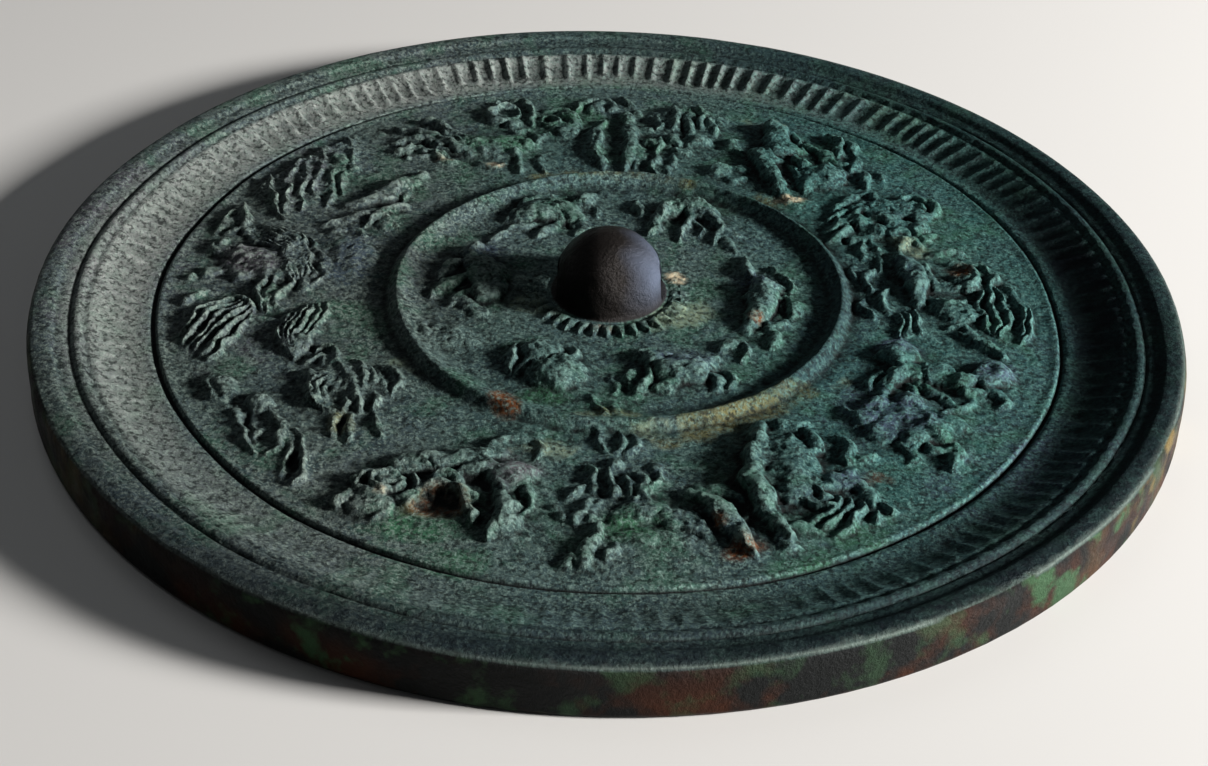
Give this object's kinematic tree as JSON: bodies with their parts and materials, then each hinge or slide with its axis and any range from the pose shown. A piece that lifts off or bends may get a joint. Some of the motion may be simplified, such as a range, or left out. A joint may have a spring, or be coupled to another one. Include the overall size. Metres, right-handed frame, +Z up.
{
  "type": "ancient bronze mirror",
  "caption": "Round cast bronze mirror, back up: thick fluted rim, band of birds, beasts and flowers in relief, inner ring of beasts, and a domed knob pierced for a cord.",
  "frame": {"origin": "middle of the flat reflecting face, which the mirror lies on", "axes": "+Z up through the knob, at right angles to the disc; -Y towards the side that shows nearest; the cord hole runs along X"},
  "size_m": [0.22, 0.22, 0.0182],
  "materials": {
    "bronze": "aged cast bronze: dark grey-green patina, worn silvery on the raised parts, with brown and green corrosion in patches"
  },
  "bodies": {
    "root": {"mirror": "bronze"}
  },
  "joints": []
}
